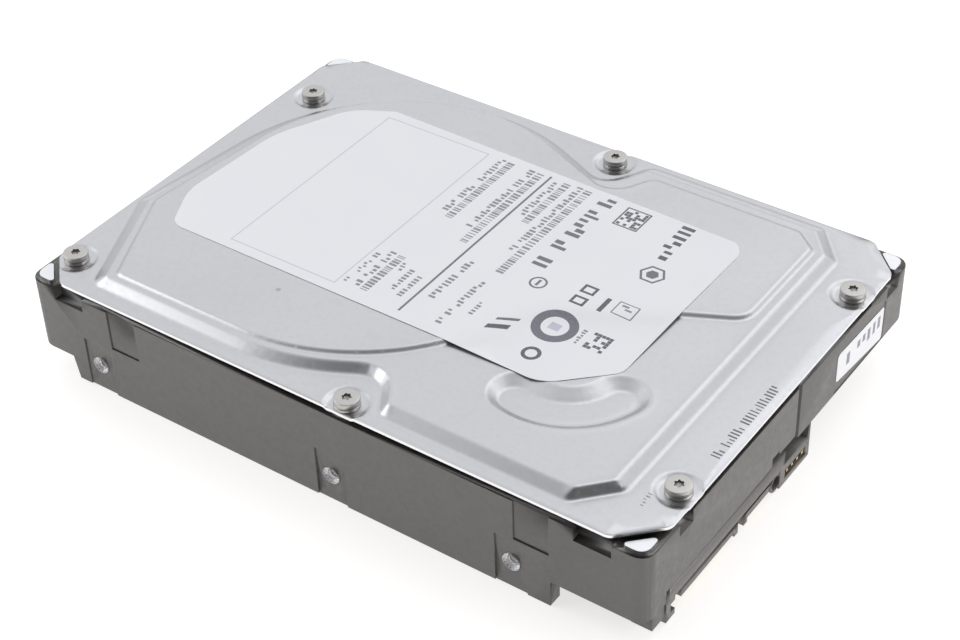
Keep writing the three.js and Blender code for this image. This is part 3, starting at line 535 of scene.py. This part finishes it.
class Relief:
    """The heights of a CAD node's top, rounded off as a press tool rounds a sheet.

    A pressed sheet springs back into a faint bead along the edges of each slope.
    """

    def __init__(self, node, blur, bead=0.0):
        mesh = frame["nodes"][node].data
        low, high = (np.array(c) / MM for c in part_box(node))
        corners = [v.co / MM for v in mesh.vertices]
        tree = BVHTree.FromPolygons(corners, [p.vertices for p in mesh.polygons])
        self.xs = np.arange(low[0] - 2, high[0] + 2, GRID)
        self.ys = np.arange(low[1] - 2, high[1] + 2, GRID)
        above = high[2] + 5
        hits = [[tree.ray_cast(Vector((x, y, above)), -UP)[0] for y in self.ys] for x in self.xs]
        solid = np.array([[h is not None for h in row] for row in hits], float)
        raw = np.array([[h.z if h else 0.0 for h in row] for row in hits])
        formed = blurred(raw, blur) / np.maximum(blurred(solid, blur), 1e-6)
        weight = np.maximum(blurred(solid, BEAD_WIDTH), 1e-6)
        wider = blurred(formed * solid, BEAD_WIDTH) / weight
        self.z = np.minimum(formed + bead * (formed - wider), raw.max() + BEAD_TOP)
        bent = abs(formed - wider) > 0.004  # flat to within a few microns otherwise
        self.shaped = bent & (solid > 0)

    def __call__(self, points):
        u = (points[:, 0] - self.xs[0]) / GRID
        v = (points[:, 1] - self.ys[0]) / GRID
        i = np.clip(u.astype(int), 0, len(self.xs) - 2)
        j = np.clip(v.astype(int), 0, len(self.ys) - 2)
        s, t = u - i, v - j
        z = self.z
        near = z[i, j] * (1 - t) + z[i, j + 1] * t
        far = z[i + 1, j] * (1 - t) + z[i + 1, j + 1] * t
        return near * (1 - s) + far * s

    def points(self):
        """The grid points that the shape needs, and only a few where it is flat."""
        wanted = self.shaped.copy()
        wanted[::SPARSE, ::SPARSE] = True
        i, j = np.nonzero(wanted)
        return np.stack([self.xs[i], self.ys[j]], 1)


def blurred(values, sigma):
    """A grid of values after a Gaussian blur of sigma millimetres."""
    reach = math.ceil(3 * sigma / GRID)
    kernel = np.exp(-0.5 * (np.arange(-reach, reach + 1) * GRID / sigma) ** 2)
    kernel /= kernel.sum()
    for axis in (0, 1):
        values = np.apply_along_axis(np.convolve, axis, values, kernel, "same")
    return values


def spanned(values, reach):
    """A grid of values, each raised to the highest one within reach millimetres of it."""
    shifts = range(-round(reach / GRID), round(reach / GRID) + 1)
    for axis in (0, 1):
        values = np.max([np.roll(values, shift, axis) for shift in shifts], axis=0)
    return values


NO_POINTS = np.zeros((0, 2))


def triangulated(loops, points, marks):
    """Corner points and triangles of the area inside the first loop and outside the others."""
    coords, edges = [], []
    for loop in [*loops, *(outline for outline, _ in marks)]:
        start, count = len(coords), len(loop)
        coords.extend(map(tuple, loop))
        edges.extend((start + i, start + (i + 1) % count) for i in range(count))
    coords.extend(map(tuple, points))
    verts, _, faces, *_ = delaunay_2d_cdt([Vector(c) for c in coords], edges, [], 0, 1e-4)
    verts = np.array([tuple(v) for v in verts])
    faces = np.array([tuple(f) for f in faces])
    centres = verts[faces].mean(1)
    keep = inside(centres, loops[0])
    for hole in loops[1:]:
        keep &= ~inside(centres, hole)
    used, faces = np.unique(faces[keep], return_inverse=True)
    return verts[used], faces.reshape(-1, 3), centres[keep]


def sheet(name, verts, faces, paint, place, depth, rim_index=0):
    """A closed sheet: triangles on top, the same ones lower down, and a rim between, as a mesh."""
    top = place(verts)
    count = len(top)
    edges = {(a, b) for f in faces for a, b in ((f[0], f[1]), (f[1], f[2]), (f[2], f[0]))}
    rim = [(a, b) for a, b in edges if (b, a) not in edges]
    walls = [(b, a, a + count, b + count) for a, b in rim]
    upper = [tuple(f) for f in faces]
    lower = [(c + count, b + count, a + count) for a, b, c in upper]
    mesh = bpy.data.meshes.new(name)
    mesh.from_pydata(np.concatenate([top, top + depth]) * MM, [], upper + lower + walls)
    indices = list(paint) + [0] * len(lower) + [rim_index] * len(walls)
    mesh.polygons.foreach_set("material_index", indices)
    mesh.update()
    return smooth(mesh)


def painted(centres, marks):
    """The material index of each triangle; a later mark covers an earlier one."""
    paint = np.zeros(len(centres), int)
    for outline, index in marks:
        paint[inside(centres, np.array(outline))] = index
    return paint


# ---- Print ---------------------------------------------------------------------------------------
# Print is a list of (outline, ink) pairs, and a later one covers an earlier one.
def block(x0, x1, y0, y1):
    return [(x0, y0), (x1, y0), (x1, y1), (x0, y1)]


def disc(x, y, r, sides=28):
    angles = [2 * math.pi * i / sides for i in range(sides)]
    return [(x + r * math.cos(a), y + r * math.sin(a)) for a in angles]


def ring_marks(x, y, r, width, ink_name, sides=28):
    """A ring, or with few sides a polygon's outline, that is blank inside."""
    return [(disc(x, y, r, sides), ink_name), (disc(x, y, r - width, sides), "blank")]


def frame_marks(x0, x1, y0, y1, width, ink_name):
    """A rectangle's outline that is blank inside."""
    inner = block(x0 + width, x1 - width, y0 + width, y1 - width)
    return [(block(x0, x1, y0, y1), ink_name), (inner, "blank")]


def stroke_row(x, height, y_from, y_to, pitch, ink_name, seed, weight=(0.45, 0.7)):
    """Plain strokes in a row along Y, as heavy as a line of small print but saying nothing."""
    rng = random.Random(seed)
    made = []
    y = y_from
    while y - pitch > y_to:
        low, high = rng.choice(((0, 1), (0, 1), (0, 0.6), (0.4, 1)))
        if rng.random() > 0.1:
            wide = pitch * rng.uniform(*weight)
            made.append((block(x + height * low, x + height * high, y - wide, y), ink_name))
        y -= pitch
    return made


def stripe_row(x, height, y_from, y_to, ink_name, seed):
    """Stripes of several widths in a row along Y, like a bar code that holds no code."""
    rng = random.Random(seed)
    made = []
    y = y_from
    while y > y_to + 0.7:
        wide = rng.choice((0.25, 0.4, 0.65))
        made.append((block(x, x + height, y - wide, y), ink_name))
        y -= wide + rng.choice((0.25, 0.35, 0.6))
    return made


def cell_patch(x0, y0, rows, columns, size, ink_name, seed):
    """A patch of square cells, about half of them filled, each a little inside its place."""
    rng = random.Random(seed)
    inset, side = 0.03, size - 0.06
    made = []
    for cell in range(rows * columns):
        if rng.random() < 0.55:
            x = x0 + cell // columns * size + inset
            y = y0 + cell % columns * size + inset
            made.append((block(x, x + side, y, y + side), ink_name))
    return made


def label_marks():
    """The top label's layout: X runs across the lines of print, and Y along them."""
    marks = frame_marks(-43.5, -16.5, -22.2, 31.6, 0.22, "line")
    marks.append((block(-0.8, -0.3, -22.3, 31.7), "dark"))
    marks += print_rows()
    marks += approval_shapes()
    return [(np.array(outline), INK_INDEX[ink_name]) for outline, ink_name in marks]


def print_rows():
    """Rows of strokes and stripes, each line with a seed of its own."""
    marks = []
    striped = [
        (-13.4, 31.5, 8.4, 7.2),
        (-5.9, 31.5, 7.3, 2.2),
        (0.9, 31.4, 16.5, 14.5),
        (6.1, 31.6, 5.3, -2.8),
    ]
    for seed, (x, start, end_print, end_stripes) in enumerate(striped):
        marks += stroke_row(x, 1.5, start, end_print, 1.05, "grey", seed)
        marks += stripe_row(x + 2.0, 1.8, start - 0.2, end_stripes, "grey", seed + 10)
    marks += stroke_row(-15.6, 1.2, -9.6, -21.8, 0.95, "grey", 20)
    marks += stroke_row(-13.3, 1.5, -7.6, -21.4, 1.1, "grey", 21)
    marks += stripe_row(-11.2, 1.8, -7.9, -21.7, "grey", 22)
    plain = [
        (-8.9, 1.2, -9.4, -14.5, 0.95, "grey", 30),
        (-6.4, 1.2, -10.4, -18.0, 0.95, "grey", 31),
        (-3.9, 1.2, -11.4, -19.6, 0.95, "grey", 32),
        (1.6, 1.5, -1.7, -16.6, 1.1, "grey", 40),
        (7.4, 1.4, -5.9, -22.4, 1.05, "grey", 41),
        (11.3, 1.0, -10.6, -16.5, 0.9, "grey", 42),
        (12.6, 3.4, 31.4, 9.6, 1.75, "dark", 50),
        (12.6, 3.4, 7.4, 2.9, 2.0, "dark", 51),
    ]
    for row in plain:
        marks += stroke_row(*row)
    return marks


def approval_shapes():
    """Plain shapes, and the lines beside them, where such a label has its patches, rings and marks."""
    marks = ring_marks(17.4, -0.2, 1.9, 0.45, "dark")
    marks.append((block(17.1, 17.7, -1.2, 0.8), "dark"))
    marks += frame_marks(18.9, 24.7, 24.5, 31.2, 0.35, "black")
    marks += cell_patch(19.4, 25.0, 6, 7, 0.81, "black", 60)
    marks += stroke_row(31.7, 3.0, 31.7, 18.4, 1.85, "black", 70)
    marks += ring_marks(34.9, 14.2, 2.9, 0.55, "dark", 6)
    marks.append((disc(34.9, 14.2, 1.4, 6), "dark"))
    marks += frame_marks(25.6, 28.8, 1.9, 4.6, 0.6, "black")
    marks += frame_marks(25.6, 28.8, -2.0, 0.7, 0.6, "black")
    marks.append((block(31.6, 32.6, -1.4, 3.1), "black"))
    marks += frame_marks(34.2, 38.8, -0.4, 3.6, 0.25, "dark")
    marks += stroke_row(35.2, 2.6, 2.9, -0.2, 0.9, "grey", 80)
    marks += ring_marks(27.4, -9.4, 4.7, 1.9, "dark", 40)
    marks.append((block(26.2, 28.6, -10.4, -8.4), "line"))
    marks += cell_patch(34.9, -11.6, 5, 6, 0.85, "black", 90)
    marks += stroke_row(32.6, 0.9, -7.0, -12.0, 0.8, "grey", 91)
    marks += ring_marks(28.0, -18.5, 2.0, 0.8, "black")
    marks.append(([(16.4, -17.6), (20.4, -15.4), (20.4, -14.0), (16.4, -16.2)], "black"))
    marks.append(([(16.9, -14.4), (20.9, -12.2), (20.9, -11.4), (16.9, -13.6)], "dark"))
    return marks


def cover_marks():
    """Etched strokes along the connector end, finer ones beside them, and one faint spot."""
    marks = stroke_row(69.7, 1.9, -0.3, -23.8, 0.9, ETCH, 5, (0.3, 0.5))
    marks += stroke_row(65.6, 0.9, -37.5, -42.0, 0.8, ETCH, 6, (0.2, 0.3))
    marks.append((disc(-24.5, -29.9, 0.55, 16), FAINT_SPOT))
    return [(np.array(outline), COVER_LOOKS.index(look)) for outline, look in marks]


# ---- Cover and labels ----------------------------------------------------------------------------
relief = Relief("top_cover", COVER_BLUR, BEAD)

# The film doesn't follow the sheet down a step: it spans the foot and comes down softly.
film_relief = Relief("top_cover", LABEL_BLUR)
film_relief.z = blurred(spanned(relief.z, LABEL_SPAN), LABEL_BLUR)


def pressed_cover():
    """The cover as one pressed sheet, with a rounded rim and a sheared edge painted brighter than the
    sheet as a highlight.
    """
    found = loops_of("top_cover", UP, (0, 1))
    outer = curved(found[0])
    holes = [loop for loop in found[1:] if np.ptp(loop, axis=0).max() < SCREW_HOLE_SPAN]
    inner = shrunk(outer, RIM_ROUND)
    marks = cover_marks()
    points = clear_of(relief.points(), [outer, inner, *holes], RIM_GAP)
    verts, faces, centres = triangulated([outer, *holes], np.concatenate([inner, points]), marks)
    on_rim = {tuple(np.round(p, 3)) for p in outer}
    drop = np.array([tuple(np.round(v, 3)) in on_rim for v in verts]) * RIM_DROP

    def place(flat):
        return np.column_stack([flat, relief(flat) - drop])

    paint = painted(centres, marks)
    depth = np.array([0, 0, -SHEET])
    mesh = sheet("pressed_cover", verts, faces, paint, place, depth, COVER_LOOKS.index(RIM_HIGHLIGHT))
    piece("pressed_cover", mesh, COVER_LOOKS, "top_cover")


def top_film():
    """The printed film, which lies on the pressed sheet and spans the foot of each step."""
    outer = curved(loops_of("top_label", UP, (0, 1))[0])
    marks = label_marks()
    soft = film_relief.points()[::7]  # the film bends so gently that it needs few points
    points = np.concatenate([relief.points(), soft])
    points = clear_of(points[inside(points, outer)], [outer], LABEL_GAP)
    verts, faces, centres = triangulated([outer], points, marks)

    def place(flat):
        return np.column_stack([flat, np.maximum(relief(flat), film_relief(flat)) + LABEL_LIFT])

    depth = np.array([0, 0, -LABEL_T])
    mesh = sheet("printed_label", verts, faces, painted(centres, marks), place, depth)
    piece("printed_label", mesh, FILM, "top_label")


def end_film():
    """The small printed film on the connector end, its flat plane given by Y and Z."""
    outer = curved(loops_of("end_label", OUT, (1, 2))[0])
    strokes = stroke_row(13.4, 2.9, 38.6, 21.0, 2.2, "grey", 8)
    marks = [(np.array([(y, z) for z, y in outline]), INK_INDEX[name]) for outline, name in strokes]
    verts, faces, centres = triangulated([outer], NO_POINTS, marks)
    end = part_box("end_label")[1].x / MM

    def place(flat):
        return np.column_stack([np.full(len(flat), end - END_LABEL_SUNK), flat])

    depth = np.array([-END_LABEL_T, 0, 0])
    mesh = sheet("printed_end_label", verts, faces, painted(centres, marks), place, depth)
    piece("printed_end_label", mesh, FILM, "end_label")


# ---- Turned pieces -------------------------------------------------------------------------------
def lathed(name, rings, center, axis, material_of_ring):
    """A skin through rings of equal point count, each given as (radius or function, height)."""
    sides = 72
    angles = np.arange(sides) * 2 * np.pi / sides
    coords = []
    for radius, height in rings:
        r = radius(angles) if callable(radius) else np.full(sides, radius)
        level = np.full(sides, height)
        coords.append(np.column_stack([r * np.cos(angles), r * np.sin(angles), level]))
    faces, indices = [], []
    for k in range(len(rings) - 1):
        for i in range(sides):
            j = (i + 1) % sides
            faces.append((k * sides + i, k * sides + j, (k + 1) * sides + j, (k + 1) * sides + i))
            indices.append(material_of_ring(k))
    turn = UP.rotation_difference(axis).to_matrix().to_4x4()
    mesh = bpy.data.meshes.new(name)
    mesh.from_pydata(np.concatenate(coords) * MM, [], faces)
    mesh.polygons.foreach_set("material_index", indices)
    mesh.transform(Matrix.Translation(Vector(center) * MM) @ turn)
    mesh.update()
    return smooth(mesh, 30)


def star(radius, depth, turn):
    """A six-lobed radius that swings by depth either way."""
    return lambda angles: radius + depth * np.cos(6 * (angles + turn))


def cover_screw(index):
    """A washer-headed screw with a groove round it and a six-lobed socket; the groove and the socket
    are painted darker as shade.
    """
    node = f"cover_screw_{index}"
    low, high = (np.array(c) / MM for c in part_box(node))
    x, y = (low[:2] + high[:2]) / 2
    top = high[2]
    seat = top - 2.0
    turn = 0.35 * index
    washer = [
        (1.3, low[2]),
        (1.3, seat),
        (2.45, seat),
        (2.6, seat + 0.08),
        (2.6, seat + 0.5),
    ]
    groove = [(2.55, seat + 0.6), (2.46, seat + 0.66), (2.46, seat + 0.78)]
    head = [
        (2.52, seat + 0.84),
        (2.58, seat + 0.95),
        (2.58, top - 0.22),
        (2.53, top - 0.09),
        (2.42, top - 0.02),
        (2.3, top),
        (1.25, top),
        (star(0.92, 0.13, turn), top),
    ]
    socket = [
        (star(0.87, 0.13, turn), top - 0.06),
        (star(0.83, 0.12, turn), top - 0.5),
        (0.3, top - 0.58),
        (0.001, top - 0.6),
    ]
    rings = washer + groove + head + socket
    # The groove's and the socket's rings get the darker metal, painted shade.
    dark = [ring in groove or ring in socket for ring in rings]
    mesh = lathed(f"screw_{index}", rings, (x, y, 0), UP, lambda k: int(dark[k]))
    piece(f"fine_{node}", mesh, [SLOTS["screw_steel"], RECESS_SHADE], node)


def threaded_hole(name, mouth, outward, mouth_r):
    """The bright mouth and thread of a 6-32 hole, lining the bore in the casting."""
    rings = [(mouth_r - 0.02, -0.03), (mouth_r - 0.05, -0.84), (THREAD_OUTER_R + 0.01, -THREAD_FROM)]
    depth = THREAD_FROM
    while depth < THREAD_TO:
        rings.append((THREAD_OUTER_R, -depth - 0.1))
        rings.append((THREAD_INNER_R, -depth - THREAD_PITCH / 2))
        rings.append((THREAD_OUTER_R, -depth - THREAD_PITCH + 0.1))
        depth += THREAD_PITCH
    rings += [(1.3, -4.5), (0.001, -4.55)]
    # The bottom of the hole gets the darker recess metal, painted shade.
    shaded_floor_ring = len(rings) - 2
    mesh = lathed(name, rings, mouth, outward, lambda k: int(k == shaded_floor_ring))
    piece(name, mesh, [THREAD, RECESS_SHADE], "base_casting", replaces=False)


def threaded_holes():
    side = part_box("base_casting")[1].y / MM
    for s, word in ((-1, "near"), (1, "back")):
        for i, x in enumerate(SIDE_HOLES_X):
            mouth = (x, s * side, SIDE_HOLE_Z)
            threaded_hole(f"{word}_side_thread_{i + 1}", mouth, Vector((0, s, 0)), SIDE_MOUTH_R)
        for i, x in enumerate(BASE_HOLES_X):
            mouth = (x, s * BASE_HOLE_Y, 0)
            threaded_hole(f"{word}_base_thread_{i + 1}", mouth, -UP, BASE_MOUTH_R)


def pad_faces():
    """Bare machined tops on the four corner pads of the casting."""
    mesh = frame["nodes"]["base_casting"].data
    corner = [f for f in mesh.polygons if (abs(f.center.x) + abs(f.center.y)) / MM > PAD_SUM]
    top = max(f.center.z for f in corner) / MM
    pads = [f for f in corner if f.normal.z > 0.9 and abs(f.center.z / MM - top) < 0.02]
    corners = {}
    for face in pads:
        key = (face.center.x > 0, face.center.y > 0)
        corners.setdefault(key, []).append([tuple(mesh.vertices[i].co / MM)[:2] for i in face.vertices])
    for i, key in enumerate(sorted(corners)):
        points = np.unique(np.round(np.concatenate(corners[key]), 3), axis=0)
        hull = shrunk(curved(convex(points)), 0.12)
        verts, faces, _ = triangulated([hull], NO_POINTS, [])

        def place(flat):
            return np.column_stack([flat, np.full(len(flat), top + PAD_FACE_LIFT)])

        depth = np.array([0, 0, -0.02])
        made = sheet(f"pad_face_{i + 1}", verts, faces, [0] * len(faces), place, depth)
        piece(f"pad_face_{i + 1}", made, [PAD], "base_casting", replaces=False)


def convex(points):
    """The anticlockwise convex outline of a few points."""
    order = points[np.lexsort((points[:, 1], points[:, 0]))]

    def half(run):
        kept = []
        for p in run:
            while len(kept) > 1 and np.cross(kept[-1] - kept[-2], p - kept[-1]) <= 0:
                kept.pop()
            kept.append(p)
        return kept[:-1]

    return np.array(half(order) + half(order[::-1]))


# ---- Light, floor and camera ---------------------------------------------------------------------
def direction(azimuth, elevation):
    a, e = math.radians(azimuth), math.radians(elevation)
    return Vector((math.sin(a) * math.cos(e), -math.cos(a) * math.cos(e), math.sin(e)))


def softbox(name, azimuth, elevation, distance, size, power):
    """A rectangular light that looks at the origin, with its distance and size in metres."""
    light = bpy.data.lights.new(name, "AREA")
    light.shape = "RECTANGLE"
    light.size, light.size_y = size
    light.energy = power
    made = bpy.data.objects.new(name, light)
    way = direction(azimuth, elevation)
    made.location = way * distance
    made.rotation_euler = way.to_track_quat("Z", "Y").to_euler()
    bpy.context.scene.collection.objects.link(made)


def spread(tree, way, towards, between, levels):
    """A level that rises smoothly as the way looked in turns towards one direction."""
    facing = tree.nodes.new("ShaderNodeVectorMath")
    facing.operation = "DOT_PRODUCT"
    facing.inputs[1].default_value = Vector(towards).normalized()
    level = tree.nodes.new("ShaderNodeMapRange")
    level.interpolation_type = "SMOOTHSTEP"
    for key, value in zip(("From Min", "From Max", "To Min", "To Max"), (*between, *levels)):
        level.inputs[key].default_value = value
    tree.links.new(way, facing.inputs[0])
    tree.links.new(facing.outputs["Value"], level.inputs["Value"])
    return level.outputs["Result"]


def studio():
    """Three soft panels in a room whose walls are bright on one side and dimmer near the ground."""
    softbox("key_panel", 168, 54, 1.5, (1.2, 1.1), 2.2)
    softbox("left_panel", 305, 32, 0.5, (0.34, 0.24), 0.5)
    softbox("end_panel", 106, 22, 1.1, (0.7, 0.4), 4)
    world = bpy.data.worlds.new("room")
    world.use_nodes = True
    tree = world.node_tree
    way = tree.nodes.new("ShaderNodeTexCoord").outputs["Generated"]
    walls = spread(tree, way, BRIGHT_WALL, (-0.32, 0.5), (0.14, 1.1))
    skyline = spread(tree, way, (0, 0, 1), (0.0, 0.3), (0.5, 1.0))
    product = tree.nodes.new("ShaderNodeMath")
    product.operation = "MULTIPLY"
    background = tree.nodes["Background"]
    background.inputs["Color"].default_value = (0.96, 0.975, 1.0, 1)
    tree.links.new(walls, product.inputs[0])
    tree.links.new(skyline, product.inputs[1])
    tree.links.new(product.outputs["Value"], background.inputs["Strength"])
    bpy.context.scene.world = world
    bpy.context.scene.view_settings.view_transform = "Standard"


def floor():
    mesh = bpy.data.meshes.new("floor")
    mesh.from_pydata([(-3, -3, 0), (3, -3, 0), (3, 3, 0), (-3, 3, 0)], [], [(0, 1, 2, 3)])
    made = bpy.data.objects.new("floor", mesh)
    made.location.z = -0.0001
    bpy.context.scene.collection.objects.link(made)
    s = Surface("pale_floor", "c2c1c0", 0.6)
    s.gloss(s.noise(30, 2), 0.55, 0.65)
    s.socket("Emission Color").default_value = (1, 0.99, 0.98, 1)
    s.socket("Emission Strength").default_value = FLOOR_GLOW
    mesh.materials.append(s.material)


def camera():
    data = bpy.data.cameras.new("camera")
    data.lens = LENS
    data.sensor_width = 36
    data.clip_start = 0.01
    r = math.radians(ROLL)
    back = direction(AZIMUTH, ELEVATION)
    right = UP.cross(back).normalized()
    up = back.cross(right)
    turned_right = right * math.cos(r) + up * math.sin(r)
    turned_up = up * math.cos(r) - right * math.sin(r)
    axes = Matrix((turned_right, turned_up, back)).transposed().to_4x4()
    made = bpy.data.objects.new("camera", data)
    made.matrix_world = Matrix.Translation((Vector(TARGET) + back * DISTANCE) * MM) @ axes
    bpy.context.scene.collection.objects.link(made)
    bpy.context.scene.camera = made


# ---- Assembly ------------------------------------------------------------------------------------
camera()
studio()
floor()

for node, made in frame["nodes"].items():
    made.data.materials.clear()
    made.data.materials.append(SLOTS[SLOT_OF[node]])

pressed_cover()
top_film()
end_film()
for number in range(COVER_SCREWS):
    cover_screw(number + 1)
threaded_holes()
pad_faces()
for node in ("base_casting", "sata_connector"):
    made = piece(f"fine_{node}", welded(node), [SLOTS[SLOT_OF[node]]], node)
    made.modifiers.new("flat_faces_stay_flat", "WEIGHTED_NORMAL").keep_sharp = True
